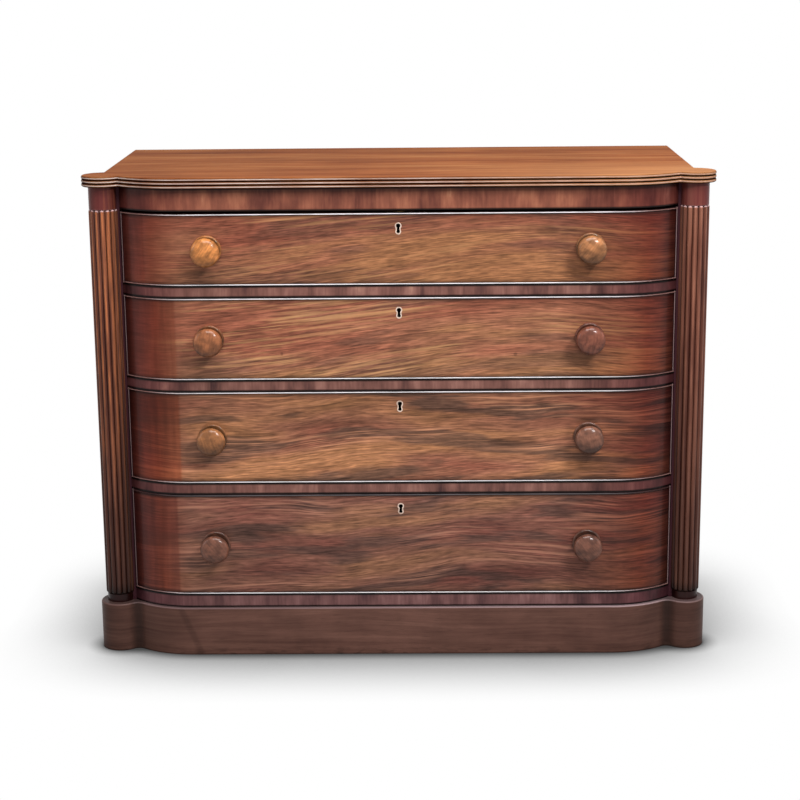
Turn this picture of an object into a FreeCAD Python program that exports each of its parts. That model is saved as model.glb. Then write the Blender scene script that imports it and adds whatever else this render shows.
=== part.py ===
import FreeCAD, Part
import math
import os
from FreeCAD import Vector

# Regency chest of four long drawers in mahogany: a straight front with rounded ends, reeded
# columns at the front corners, a reeded top board and a plinth.
#
# Lengths are in millimetres and +Z is up. While the pieces are made, X = 0 is the middle of the
# chest, Y = 0 is the flat face of the drawer fronts (+Y runs to the back) and Z = 0 is the floor.
# When they are written, everything moves along Y, so that the origin is the middle of the
# chest's bounding box, on the floor.

# ---- driving sizes: the plan ---------------------------------------------------------------
DRAWER_WIDTH = 1010.0        # over the ends of a drawer front
END_RUN = 109.0              # how much of that, at each end, is rounded back
END_RADIUS = 152.0           # radius of the rounded ends
SIDE_GAP = 1.0               # a drawer to the opening, at each side
POST_WIDTH = 23.5
POST_DEPTH = 47.0
CARCASS_BACK = 470.0
SIDE_THICKNESS = 16.0
BACK_THICKNESS = 10.0
BACK_BOARD_COUNT = 6

# ---- driving sizes: the heights ------------------------------------------------------------
PLINTH_HEIGHT = 92.5
BOTTOM_RAIL_HEIGHT = 25.0
RAIL_HEIGHT = 21.0
TOP_DRAWER_HEIGHT = 130.5
DRAWER_STEP = 21.0           # each drawer is deeper than the one above it
DRAWER_COUNT = 4
FRONT_GAP = 1.0              # above and below a drawer front
TOP_GAP = 4.5                # above the top drawer front
FRIEZE_HEIGHT = 41.5
TOP_THICKNESS = 20.0

# ---- driving sizes: top board, columns and plinth ------------------------------------------
TOP_FRONT_LIP = 13.0
TOP_SIDE_LIP = 10.5
TOP_BACK_LIP = 6.0
LOBE_RADIUS = 37.5           # the round corners of the top board, over the columns
TOP_LAYERS = 3               # the reeds of the top board's edge, one above the other
TOP_REED_ROUNDING = 0.45     # such a reed's corner radius, as a share of its height
LOBE_COVE = 4.0              # where a lobe meets a straight edge

COLUMN_OUT = 7.0             # a column's centre, outwards of the carcass's side
COLUMN_BACK = 6.0            # and behind the post's front
COLUMN_RADIUS = 27.3         # over the reeds
REED_COUNT = 15              # round a full turn
REED_MERGE = 0.15            # how far neighbouring reeds run into each other
NECK_RADIUS = 24.5
NECK_HEIGHT = 15.0
CAP_RADIUS = 26.0

PLINTH_FRONT_STEP = 7.0      # the plinth stands out from the drawer fronts
PLINTH_SIDE_STEP = 11.5      # and from the sides
PLINTH_THICKNESS = 24.0
PLINTH_EDGE_RADIUS = 3.5
PLINTH_BACK_THICKNESS = 18.0
BLOCK_RADIUS = 37.0          # the round corner blocks, under the columns
BLOCK_COVE = 16.0            # where a block meets the plinth's front

# ---- driving sizes: inside the carcass -----------------------------------------------------
FRIEZE_THICKNESS = 24.0
END_BLOCK = 23.5             # the thick ends of the frieze and of the drawer fronts
TENON_LENGTH = 10.0
TENON_WIDTH = 20.0
TENON_SHOULDER = 4.0
TONGUE_THICKNESS = 5.0
TONGUE_LENGTH = 6.0
RUNNER_WIDTH = 42.0
GUIDE_HEIGHT = 25.0
BOTTOM_BOARD_THICKNESS = 12.0
DUST_BOARD_THICKNESS = 8.0
DUST_BOARD_TONGUE = 8.0
TOP_RAIL_THICKNESS = 18.0
TOP_RAIL_FRONT_DEPTH = 62.0
TOP_RAIL_BACK_DEPTH = 60.0
KICKER_WIDTH = 30.0
KICKER_GAP = 1.5             # the top drawer's sides to the kickers
STOP_LENGTH = 36.0
STOP_DEPTH = 18.0
STOP_HEIGHT = 5.0
STOP_GAP = 0.3               # a closed drawer to its stops
STOP_X = 250.0
GLUE_BLOCK_LENGTH = 60.0
GLUE_BLOCK_SIZE = 28.0

# ---- driving sizes: the drawers ------------------------------------------------------------
FRONT_THICKNESS = 22.0
SHOULDER_DEPTH = 76.0        # the ends of the front meet the drawer's sides this far back
BOX_SIDE_THICKNESS = 12.0
BOX_BACK_THICKNESS = 10.0
BOX_BACK_CLEARANCE = 10.0    # a closed drawer to the back boards
BOX_TOP_DROP = 4.0           # the sides stop below the top of the front
BOX_BACK_DROP = 10.0         # and the back below the sides
RUN_GAP = 0.3                # a drawer side over its runner
BOX_BOTTOM_THICKNESS = 6.0
BOX_BOTTOM_RAISE = 9.0
BOX_BOTTOM_TONGUE = 5.0
TAIL_PITCH = 38.0
TAIL_SHARE = 0.56            # a dovetail's root, as a share of its pitch
TAIL_SLOPE = 0.14
LAP_TAIL_LENGTH = 16.0

BEAD_THICKNESS = 3.2
BEAD_PROUD = 2.0
BEAD_DEPTH = 8.0
BEAD_NOSE = 1.4
BEAD_END_NOSE = 1.0

KNOB_X = 345.0
KNOB_REACH = 45.0
KNOB_COLLAR_RADIUS = 27.0    # the beaded collar against the drawer front
KNOB_COLLAR_HALF = 3.2       # half its thickness
KNOB_COLLAR_ROUND = 3.6      # how far in its bead goes
KNOB_NECK_RADIUS = 13.0
KNOB_NECK_AT = 13.0          # the neck's thinnest place, from the drawer front
KNOB_HEAD_RADIUS = 26.3
KNOB_HEAD_BACK = 24.0        # the back of the head, from the drawer front
KNOB_HEAD_ROUND = 5.0        # how far in its round back goes
KNOB_WIDEST_AT = 33.0        # the head's widest place, from the drawer front
KNOB_SPIGOT_RADIUS = 8.0
KNOB_SPIGOT_PAST = 4.0       # the spigot stands this far inside the drawer

KEYHOLE_DOWN = 28.5          # the keyhole's centre below the top of the drawer front
KEYHOLE_EYE_RADIUS = 4.0
KEYHOLE_FOOT_RADIUS = 3.2
KEYHOLE_WAIST = 4.8          # the width of the slot between the two rounds
KEYHOLE_EYE_UP = 4.9         # the eye's centre above the keyhole's
KEYHOLE_FOOT_DOWN = 5.6
ESCUTCHEON_WALL = 2.0
ESCUTCHEON_DEPTH = 3.0
ESCUTCHEON_PROUD = 0.2

LOCK_WIDTH = 60.0
LOCK_HEIGHT = 43.0
LOCK_DEPTH = 10.0
LOCK_PROUD = 0.8
LOCK_KEY_ROOM = 7.0          # how deep the key goes into the lock
LOCK_PIN_RADIUS = 1.2
LOCK_PIN_SET_BACK = 4.0      # the pin's tip behind the drawer's face
BOLT_WIDTH = 22.0
BOLT_THICKNESS = 4.0
BOLT_LENGTH = 13.0
BOLT_GAP = 0.3
BOLT_SET_DOWN = 0.5          # a drawn bolt lies below the top of the lock
BOLT_TRAVEL = 8.5
MORTISE_GAP = 1.5            # round a thrown bolt
SCREW_RADIUS = 1.4
SCREW_HEAD_RADIUS = 3.0
SCREW_HEAD_THICKNESS = 1.0
SCREW_INSET = 5.0
SCREW_BITE = 7.0             # a lock screw goes this far into the drawer front

# ---- what follows from them ----------------------------------------------------------------
DRAWER_HALF = DRAWER_WIDTH / 2
FLAT_HALF = DRAWER_HALF - END_RUN
OPENING_HALF = DRAWER_HALF + SIDE_GAP
CORNER_X = OPENING_HALF + POST_WIDTH
COLUMN_X = CORNER_X + COLUMN_OUT
# the posts start where the rounded ends of the drawers end
POST_FRONT = END_RADIUS - math.sqrt(END_RADIUS ** 2 - END_RUN ** 2)
POST_BACK = POST_FRONT + POST_DEPTH
COLUMN_Y = POST_FRONT + COLUMN_BACK
INNER_HALF = CORNER_X - SIDE_THICKNESS
INNER_BACK = CARCASS_BACK - BACK_THICKNESS
END_BLOCK_X = DRAWER_HALF - END_BLOCK
BOX_INNER_HALF = DRAWER_HALF - BOX_SIDE_THICKNESS
TOP_BACK = CARCASS_BACK + TOP_BACK_LIP
PLINTH_SIDE_X = CORNER_X + PLINTH_SIDE_STEP
BOX_BACK = INNER_BACK - BOX_BACK_CLEARANCE
LOCK_FRONT = FRONT_THICKNESS - LOCK_DEPTH
BOLT_Y = LOCK_FRONT + LOCK_DEPTH / 2
CENTRE_SHIFT = Vector(0, (KNOB_REACH - TOP_BACK) / 2, 0)

# Drawer 1 is the top one. RAILS holds the top of the rail under each drawer.
DRAWER_HEIGHTS = [TOP_DRAWER_HEIGHT + DRAWER_STEP * n for n in range(DRAWER_COUNT)]
RAILS = [PLINTH_HEIGHT + BOTTOM_RAIL_HEIGHT]
for drawer_height in reversed(DRAWER_HEIGHTS[1:]):
    RAILS.insert(0, RAILS[0] + drawer_height + 2 * FRONT_GAP + RAIL_HEIGHT)
FRIEZE_BOTTOM = RAILS[0] + FRONT_GAP + TOP_DRAWER_HEIGHT + TOP_GAP
TOP_BOTTOM = FRIEZE_BOTTOM + FRIEZE_HEIGHT
TOP_RAIL_BOTTOM = TOP_BOTTOM - TOP_RAIL_THICKNESS
NEAR = 0.01


# ---- helpers -------------------------------------------------------------------------------
def box(x0, x1, y0, y1, z0, z1):
    """A block between two corners."""
    return Part.makeBox(x1 - x0, y1 - y0, z1 - z0, Vector(x0, y0, z0))


def both(shape):
    """A piece of the right-hand side, and its twin on the left."""
    return [shape, shape.mirror(Vector(0, 0, 0), Vector(1, 0, 0))]


def line(x0, y0, x1, y1):
    return Part.LineSegment(Vector(x0, y0, 0), Vector(x1, y1, 0)).toShape()


def prism(edges, z0, z1):
    """A closed outline in plan, raised from z0 to z1."""
    face = Part.Face(Part.Wire(Part.__sortEdges__(edges)))
    solid = face.extrude(Vector(0, 0, z1 - z0))
    solid.translate(Vector(0, 0, z0))
    return solid


def plate(corners, run):
    """A flat piece: straight-sided corners, drawn out along run."""
    points = [Vector(*corner) for corner in corners]
    return Part.Face(Part.makePolygon(points + points[:1])).extrude(run)


def bow_y(x, inset):
    """Where the front line that lies inset behind the drawers' faces is at x."""
    run = max(0, abs(x) - FLAT_HALF)
    return END_RADIUS - math.sqrt((END_RADIUS - inset) ** 2 - run ** 2)


def bow_end(side, x, inset):
    """The rounded end of a front line, out to x: side is 1 on the right, -1 on the left."""
    radius = END_RADIUS - inset
    half_turn = math.asin((x - FLAT_HALF) / radius) / 2
    middle_x = FLAT_HALF + radius * math.sin(half_turn)
    middle_y = END_RADIUS - radius * math.cos(half_turn)
    start = Vector(side * FLAT_HALF, inset, 0)
    middle = Vector(side * middle_x, middle_y, 0)
    end = Vector(side * x, bow_y(x, inset), 0)
    return Part.Arc(start, middle, end).toShape()


def bow_line(inset, half):
    """The chest's front line in plan, lying inset behind the drawers' faces."""
    straight = line(-FLAT_HALF, inset, FLAT_HALF, inset)
    return [straight, bow_end(1, half, inset), bow_end(-1, half, inset)]


def bowed(inset, back, half, z0, z1):
    """A board with the chest's front line and a straight back."""
    front = bow_y(half, inset)
    ends = [line(s * half, front, s * half, back) for s in (-1, 1)]
    return prism(bow_line(inset, half) + ends + [line(-half, back, half, back)], z0, z1)


def bowed_strip(front_inset, back_inset, half, z0, z1):
    """A board with the chest's front line on both of its faces."""
    front = bow_y(half, front_inset)
    back = bow_y(half, back_inset)
    ends = [line(s * half, front, s * half, back) for s in (-1, 1)]
    return prism(bow_line(front_inset, half) + bow_line(back_inset, half) + ends, z0, z1)


def thick_ended(thickness, back, half, z0, z1):
    """A bowed board of even thickness, with thick, flat-backed ends."""
    hollow = bowed(thickness, back + thickness, END_BLOCK_X, z0, z1)
    return bowed(0, back, half, z0, z1).cut(hollow)


def crossing(x, radius, corner_y, corner_radius):
    """The front one of the two places where an end arc crosses a circle about (x, corner_y)."""
    dx = x - FLAT_HALF
    dy = corner_y - END_RADIUS
    apart = math.hypot(dx, dy)
    along = (radius ** 2 - corner_radius ** 2 + apart ** 2) / (2 * apart)
    across = math.sqrt(radius ** 2 - along ** 2)
    foot_x = FLAT_HALF + along * dx / apart
    foot_y = END_RADIUS + along * dy / apart
    first = (foot_x + across * dy / apart, foot_y - across * dx / apart)
    second = (foot_x - across * dy / apart, foot_y + across * dx / apart)
    return min(first, second, key=lambda place: place[1])


def upright_edges(shape, x, y):
    """The upright edges at a place in plan, on either side of the chest."""
    found = []
    for edge in shape.Edges:
        ends = edge.Vertexes
        here = ends[0]
        upright = len(ends) == 2 and math.hypot(ends[1].X - here.X, ends[1].Y - here.Y) < NEAR
        if upright and math.hypot(abs(here.X) - x, here.Y - y) < 1:
            found.append(edge)
    return found


def level_edges(shape, wanted):
    """The edges in level planes whose ends all pass a test of x, y and z."""
    found = []
    for edge in shape.Edges:
        ends = edge.Vertexes
        level = abs(ends[0].Z - ends[-1].Z) < NEAR
        if level and all(wanted(v.X, v.Y, v.Z) for v in ends):
            found.append(edge)
    return found


def save(node, pieces):
    """Write one sub-part, in its place in the finished frame."""
    solids = []
    for piece in pieces:
        for solid in piece.Solids:
            placed = solid.copy()
            placed.translate(CENTRE_SHIFT)
            solids.append(placed)
    shape = solids[0] if len(solids) == 1 else Part.makeCompound(solids)
    shape.exportStep("parts/" + node + ".step")


# ---- top board -----------------------------------------------------------------------------
def top_layer(z0, z1):
    """One reed of the top board's edge, right across the board."""
    side = CORNER_X + TOP_SIDE_LIP
    turn = (CORNER_X + COLUMN_X) / 2        # under the lobe, so this corner doesn't show
    front = bow_y(turn, -TOP_FRONT_LIP)
    edges = bow_line(-TOP_FRONT_LIP, turn)
    for s in (-1, 1):
        edges.append(line(s * turn, front, s * side, front))
        edges.append(line(s * side, front, s * side, TOP_BACK))
    edges.append(line(-side, TOP_BACK, side, TOP_BACK))
    lobe = Part.makeCylinder(LOBE_RADIUS, z1 - z0, Vector(COLUMN_X, COLUMN_Y, z0))
    board = prism(edges, z0, z1).fuse(both(lobe)).removeSplitter()

    front_cove = crossing(COLUMN_X, END_RADIUS + TOP_FRONT_LIP, COLUMN_Y, LOBE_RADIUS)
    side_y = COLUMN_Y + math.sqrt(LOBE_RADIUS ** 2 - (side - COLUMN_X) ** 2)
    coves = upright_edges(board, *front_cove) + upright_edges(board, side, side_y)
    board = board.makeFillet(LOBE_COVE, coves)

    at_back = level_edges(board, lambda x, y, z: abs(y - TOP_BACK) < NEAR)
    level = level_edges(board, lambda x, y, z: True)
    rims = [edge for edge in level if not any(edge.isSame(other) for other in at_back)]
    return board.makeFillet(TOP_REED_ROUNDING * (z1 - z0), rims)


def make_top_board():
    step = TOP_THICKNESS / TOP_LAYERS
    levels = [TOP_BOTTOM + n * step for n in range(TOP_LAYERS)]
    layers = [top_layer(z, z + step) for z in levels]
    save("top_board", [layers[0].fuse(layers[1:])])


# ---- columns -------------------------------------------------------------------------------
def shaft_reed(angle, radius, z0, z1):
    """One reed with round ends, at an angle out from straight ahead."""
    from_centre = COLUMN_RADIUS - radius
    x = COLUMN_X + from_centre * math.sin(angle)
    y = COLUMN_Y - from_centre * math.cos(angle)
    low = z0 + radius
    high = z1 - radius
    stem = Part.makeCylinder(radius, high - low, Vector(x, y, low))
    ends = [Part.makeSphere(radius, Vector(x, y, z)) for z in (low, high)]
    return stem.fuse(ends).removeSplitter()


def column():
    """A right-hand column: neck, reeded shaft and plain cap, turned from one length."""
    half_turn = math.pi / REED_COUNT
    share = math.sin(half_turn)
    radius = COLUMN_RADIUS * share / (1 + share) + REED_MERGE
    core_radius = (COLUMN_RADIUS - radius) * math.cos(half_turn)
    foot = Vector(COLUMN_X, COLUMN_Y, PLINTH_HEIGHT)
    core = Part.makeCylinder(core_radius, TOP_BOTTOM - PLINTH_HEIGHT, foot)
    neck = Part.makeCylinder(NECK_RADIUS, NECK_HEIGHT, foot)
    cap_foot = Vector(COLUMN_X, COLUMN_Y, FRIEZE_BOTTOM)
    cap = Part.makeCylinder(CAP_RADIUS, FRIEZE_HEIGHT, cap_foot)
    # the first reed is on the corner's diagonal, so the shaft is even about it
    angles = [math.pi / 4 + n * 2 * half_turn for n in range(REED_COUNT)]
    low = PLINTH_HEIGHT + NECK_HEIGHT
    reeds = [shaft_reed(angle, radius, low, FRIEZE_BOTTOM) for angle in angles]
    whole = core.fuse([neck, cap] + reeds)
    reach = 2 * COLUMN_RADIUS
    carcass = box(
        COLUMN_X - reach, CORNER_X, POST_FRONT, POST_FRONT + reach, PLINTH_HEIGHT, TOP_BOTTOM
    )
    return whole.cut(carcass)


def make_columns():
    right, left = both(column())
    save("column_right", [right])
    save("column_left", [left])


# ---- front rails, frieze, posts and sides --------------------------------------------------
def tenon(z0, z1):
    """The tenon that a rail between z0 and z1 has in the right-hand post."""
    middle = (POST_FRONT + POST_BACK) / 2
    y0 = middle - TENON_WIDTH / 2
    z_low = z0 + TENON_SHOULDER
    z_high = z1 - TENON_SHOULDER
    return box(OPENING_HALF, OPENING_HALF + TENON_LENGTH, y0, y0 + TENON_WIDTH, z_low, z_high)


def bolt_mortise(z):
    """Room for a thrown lock bolt, above z."""
    half = BOLT_WIDTH / 2 + MORTISE_GAP
    half_depth = BOLT_THICKNESS / 2 + MORTISE_GAP
    return box(-half, half, BOLT_Y - half_depth, BOLT_Y + half_depth, z, z + BOLT_TRAVEL)


def dust_board(rail_top):
    """The thin board in the middle of a rail's height, tongued into it and the runners."""
    half = INNER_HALF - RUNNER_WIDTH + DUST_BOARD_TONGUE
    low = rail_top - (RAIL_HEIGHT + DUST_BOARD_THICKNESS) / 2
    front = POST_BACK - DUST_BOARD_TONGUE
    return box(-half, half, front, INNER_BACK, low, low + DUST_BOARD_THICKNESS)


def divider_rail(rail_top):
    z0 = rail_top - RAIL_HEIGHT
    rail = bowed(0, POST_BACK, OPENING_HALF, z0, rail_top)
    rail = rail.fuse(both(tenon(z0, rail_top))).removeSplitter()
    return rail.cut([bolt_mortise(z0), dust_board(rail_top)])


def bottom_rail():
    z1 = PLINTH_HEIGHT + BOTTOM_RAIL_HEIGHT
    rail = bowed(0, POST_BACK, OPENING_HALF, PLINTH_HEIGHT, z1)
    return rail.fuse(both(tenon(PLINTH_HEIGHT, z1))).removeSplitter()


def frieze_rail():
    rail = thick_ended(FRIEZE_THICKNESS, POST_BACK, OPENING_HALF, FRIEZE_BOTTOM, TOP_BOTTOM)
    rail = rail.fuse(both(tenon(FRIEZE_BOTTOM, TOP_BOTTOM))).removeSplitter()
    return rail.cut(bolt_mortise(FRIEZE_BOTTOM))


def side_panel():
    """A right-hand side, with the tongue that holds it in the post."""
    board = box(INNER_HALF, CORNER_X, POST_BACK, CARCASS_BACK, PLINTH_HEIGHT, TOP_BOTTOM)
    x0 = (INNER_HALF + CORNER_X - TONGUE_THICKNESS) / 2
    x1 = x0 + TONGUE_THICKNESS
    tongue = box(x0, x1, POST_BACK - TONGUE_LENGTH, POST_BACK, PLINTH_HEIGHT, TOP_BOTTOM)
    return board.fuse(tongue).removeSplitter()


def make_carcass_front_and_sides():
    rails = [divider_rail(z) for z in RAILS[:-1]]
    for number, rail in enumerate(rails, 1):
        save("divider_rail_%d" % number, [rail])
    base = bottom_rail()
    save("bottom_rail", [base])
    frieze = frieze_rail()
    save("frieze_rail", [frieze])
    panel = side_panel()
    right, left = both(panel)
    save("side_right", [right])
    save("side_left", [left])
    post = box(OPENING_HALF, CORNER_X, POST_FRONT, POST_BACK, PLINTH_HEIGHT, TOP_BOTTOM)
    save("front_posts", both(post.cut(rails + [base, frieze, panel])))


# ---- inside the carcass --------------------------------------------------------------------
def make_boards_and_runners():
    floor_top = PLINTH_HEIGHT + BOTTOM_BOARD_THICKNESS
    floor = box(-INNER_HALF, INNER_HALF, POST_BACK, INNER_BACK, PLINTH_HEIGHT, floor_top)
    save("bottom_board", [floor])
    dust_boards = [dust_board(z) for z in RAILS[:-1]]
    save("dust_boards", dust_boards)
    runners = []
    for rail_top in RAILS:
        low = floor_top if rail_top == RAILS[-1] else rail_top - RAIL_HEIGHT
        inner = INNER_HALF - RUNNER_WIDTH
        runner = box(inner, INNER_HALF, POST_BACK, INNER_BACK, low, rail_top)
        runners += both(runner.cut(dust_boards))
    save("drawer_runners", runners)


def make_guides_stops_and_kickers():
    guides = []
    stops = []
    stop_x = STOP_X - STOP_LENGTH / 2
    stop_y = FRONT_THICKNESS + STOP_GAP
    for low in RAILS:
        guide = box(OPENING_HALF, INNER_HALF, POST_BACK, INNER_BACK, low, low + GUIDE_HEIGHT)
        guides += both(guide)
        stop = Part.makeBox(STOP_LENGTH, STOP_DEPTH, STOP_HEIGHT, Vector(stop_x, stop_y, low))
        stops += both(stop)
    save("drawer_guides", guides)
    save("drawer_stops", stops)
    low = FRIEZE_BOTTOM - TOP_GAP - BOX_TOP_DROP + KICKER_GAP
    inner = INNER_HALF - KICKER_WIDTH
    kicker = box(inner, INNER_HALF, POST_BACK, INNER_BACK, low, TOP_RAIL_BOTTOM)
    save("drawer_kickers", both(kicker))


def make_top_rails():
    """The rails that hold the top board: one behind the frieze and one at the back."""
    z0 = TOP_RAIL_BOTTOM
    z1 = TOP_BOTTOM
    bow = bowed(FRIEZE_THICKNESS, POST_BACK, END_BLOCK_X, z0, z1)
    front_end = POST_BACK + TOP_RAIL_FRONT_DEPTH
    front = box(-INNER_HALF, INNER_HALF, POST_BACK, front_end, z0, z1)
    back_start = INNER_BACK - TOP_RAIL_BACK_DEPTH
    back = box(-INNER_HALF, INNER_HALF, back_start, INNER_BACK, z0, z1)
    save("top_rails", [front.fuse(bow).removeSplitter(), back])


def make_back_boards():
    width = 2 * INNER_HALF / BACK_BOARD_COUNT
    lefts = [-INNER_HALF + n * width for n in range(BACK_BOARD_COUNT)]
    boards = [
        box(x, x + width, INNER_BACK, CARCASS_BACK, PLINTH_HEIGHT, TOP_BOTTOM) for x in lefts
    ]
    save("back_boards", boards)


def make_glue_blocks():
    """Triangular blocks in the corner between the carcass and the plinth."""
    z = PLINTH_HEIGHT
    size = GLUE_BLOCK_SIZE
    half = GLUE_BLOCK_LENGTH / 2
    front = PLINTH_THICKNESS - PLINTH_FRONT_STEP
    back = CARCASS_BACK - PLINTH_BACK_THICKNESS
    side = PLINTH_SIDE_X - PLINTH_THICKNESS
    blocks = []
    for x in (-STOP_X - half, -half, STOP_X - half):
        for wall, inward in ((front, size), (back, -size)):
            corners = [(x, wall, z), (x, wall + inward, z), (x, wall, z - size)]
            blocks.append(plate(corners, Vector(GLUE_BLOCK_LENGTH, 0, 0)))
    for share in (1 / 3, 2 / 3):
        y = POST_BACK + share * (back - size - POST_BACK) - half
        corners = [(side, y, z), (side - size, y, z), (side, y, z - size)]
        blocks += both(plate(corners, Vector(0, GLUE_BLOCK_LENGTH, 0)))
    save("glue_blocks", blocks)


# ---- plinth --------------------------------------------------------------------------------
def cove_points(valley, valley_y):
    """A cove's start, middle and end, where the plinth's front meets a right-hand block."""
    radius = END_RADIUS + PLINTH_FRONT_STEP
    place = crossing(COLUMN_X, radius + BLOCK_COVE, COLUMN_Y, BLOCK_RADIUS + BLOCK_COVE)
    centre = Vector(*place, 0)
    end_centre = Vector(FLAT_HALF, END_RADIUS, 0)
    block_centre = Vector(COLUMN_X, COLUMN_Y, 0)
    start = end_centre + (centre - end_centre) * (radius / (radius + BLOCK_COVE))
    end = block_centre + (centre - block_centre) * (BLOCK_RADIUS / (BLOCK_RADIUS + BLOCK_COVE))
    inwards = Vector(valley, valley_y, 0) - centre
    return start, centre + inwards * (BLOCK_COVE / inwards.Length), end


def plinth_run(valley, valley_y):
    """The plinth's front and both corner blocks in one piece, with its edges still sharp."""
    inner = PLINTH_THICKNESS - PLINTH_FRONT_STEP
    start, middle, end = cove_points(valley, valley_y)
    outermost = Vector(COLUMN_X + BLOCK_RADIUS, COLUMN_Y, 0)
    rearmost = Vector(COLUMN_X, COLUMN_Y + BLOCK_RADIUS, 0)
    edges = bow_line(-PLINTH_FRONT_STEP, start.x) + bow_line(inner, valley)
    for side in (-1, 1):
        for arc in ((start, middle, end), (end, outermost, rearmost)):
            edges.append(Part.Arc(*[Vector(side * p.x, p.y, 0) for p in arc]).toShape())
        edges.append(line(side * COLUMN_X, rearmost.y, side * valley, rearmost.y))
        edges.append(line(side * valley, rearmost.y, side * valley, bow_y(valley, inner)))
    return prism(edges, 0, PLINTH_HEIGHT)


def make_plinth():
    valley, valley_y = crossing(
        COLUMN_X, END_RADIUS + PLINTH_FRONT_STEP, COLUMN_Y, BLOCK_RADIUS
    )
    sharp = plinth_run(valley, valley_y)

    def at_front(x, y, z):
        return abs(z - PLINTH_HEIGHT) < NEAR and abs(y + PLINTH_FRONT_STEP) < NEAR

    # the edges that run smoothly on from the front one are rounded with it
    run = sharp.makeFillet(PLINTH_EDGE_RADIUS, level_edges(sharp, at_front))
    reach = 2 * BLOCK_RADIUS
    corner_front = COLUMN_Y - reach
    corner_back = COLUMN_Y + reach
    corner = box(valley, COLUMN_X + reach, corner_front, corner_back, 0, PLINTH_HEIGHT)
    save("plinth_front", [run.cut(both(corner))])
    save("plinth_blocks", both(run.common(corner)))

    side_start = PLINTH_SIDE_X - PLINTH_THICKNESS
    side = box(side_start, PLINTH_SIDE_X, COLUMN_Y, CARCASS_BACK, 0, PLINTH_HEIGHT)
    side = side.cut(sharp)

    def on_side_top(x, y, z):
        return abs(z - PLINTH_HEIGHT) < NEAR and abs(x - PLINTH_SIDE_X) < NEAR

    side = side.makeFillet(PLINTH_EDGE_RADIUS, level_edges(side, on_side_top))
    save("plinth_sides", both(side))
    back_front = CARCASS_BACK - PLINTH_BACK_THICKNESS
    save("plinth_back", [box(-side_start, side_start, back_front, CARCASS_BACK, 0, PLINTH_HEIGHT)])


# ---- drawer boxes --------------------------------------------------------------------------
def dovetails(z0, z1, root_y, tip_y):
    """The tails on one end of a right-hand drawer side."""
    count = max(2, round((z1 - z0) / TAIL_PITCH))
    pitch = (z1 - z0) / count
    root = TAIL_SHARE * pitch / 2
    tip = root + TAIL_SLOPE * abs(tip_y - root_y)
    x = BOX_INNER_HALF
    run = Vector(BOX_SIDE_THICKNESS, 0, 0)
    tails = []
    for n in range(count):
        middle = z0 + (n + 0.5) * pitch
        corners = [
            (x, root_y, middle - root),
            (x, root_y, middle + root),
            (x, tip_y, middle + tip),
            (x, tip_y, middle - tip),
        ]
        tails.append(plate(corners, run))
    return tails


def make_drawer_box(name, z0, z1):
    """The sides, back and bottom of a drawer; returns what its front makes room for."""
    low = z0 - FRONT_GAP + RUN_GAP
    high = z1 - BOX_TOP_DROP
    bottom_low = z0 + BOX_BOTTOM_RAISE
    bottom_high = bottom_low + BOX_BOTTOM_THICKNESS
    back_front = BOX_BACK - BOX_BACK_THICKNESS
    groove = BOX_INNER_HALF + BOX_BOTTOM_TONGUE

    bottom = bowed(
        FRONT_THICKNESS - BOX_BOTTOM_TONGUE, BOX_BACK, END_BLOCK_X, bottom_low, bottom_high
    )
    behind = box(-groove, groove, SHOULDER_DEPTH, BOX_BACK, bottom_low, bottom_high)
    bottom = bottom.fuse(behind).removeSplitter()
    save(name + "_bottom", [bottom])

    back_high = high - BOX_BACK_DROP
    back_low = bottom_high
    back = box(-DRAWER_HALF, DRAWER_HALF, back_front, BOX_BACK, back_low, back_high)
    for tail in dovetails(back_low, back_high, back_front, BOX_BACK):
        back = back.cut(both(tail))
    save(name + "_back", [back])

    lap_tails = dovetails(low, high, SHOULDER_DEPTH, SHOULDER_DEPTH - LAP_TAIL_LENGTH)
    side = box(BOX_INNER_HALF, DRAWER_HALF, SHOULDER_DEPTH, BOX_BACK, low, high)
    side = side.fuse(lap_tails).removeSplitter().cut([back, bottom])
    save(name + "_sides", both(side))
    return both(side) + [bottom]


# ---- drawer fronts and what is on them -----------------------------------------------------
def make_beads(name, z0, z1):
    """The cock beads: top, bottom and the two ends. Returns the rebate that they lie in."""
    strips = []
    for low in (z0, z1 - BEAD_THICKNESS):
        strip = bowed_strip(-BEAD_PROUD, BEAD_DEPTH, DRAWER_HALF, low, low + BEAD_THICKNESS)

        def on_nose(x, y, z):
            return abs(y - bow_y(x, -BEAD_PROUD)) < NEAR

        strips.append(strip.makeFillet(BEAD_NOSE, level_edges(strip, on_nose)))
    inner = DRAWER_HALF - BEAD_THICKNESS
    low = z0 + BEAD_THICKNESS
    high = z1 - BEAD_THICKNESS
    whole = bowed_strip(-BEAD_PROUD, BEAD_DEPTH, DRAWER_HALF, low, high)
    end = whole.common(box(inner, DRAWER_HALF, 0, SHOULDER_DEPTH, low, high))
    noses = upright_edges(end, inner, bow_y(inner, -BEAD_PROUD))
    noses += upright_edges(end, DRAWER_HALF, bow_y(DRAWER_HALF, -BEAD_PROUD))
    save(name + "_beads", strips + both(end.makeFillet(BEAD_END_NOSE, noses)))

    outside = bowed_strip(-BEAD_PROUD, BEAD_DEPTH, DRAWER_HALF, z0, z1)
    inside = bowed_strip(-2 * BEAD_PROUD, 2 * BEAD_DEPTH, inner, low, high)
    return outside.cut(inside)


def quarter_ellipse(start, corner, end):
    """A quarter of an ellipse, in the corner of the box that holds it."""
    curve = Part.BezierCurve()
    curve.setPoles([start, corner, end])
    curve.setWeight(2, math.sqrt(1 / 2))
    return curve.toShape()


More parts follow.
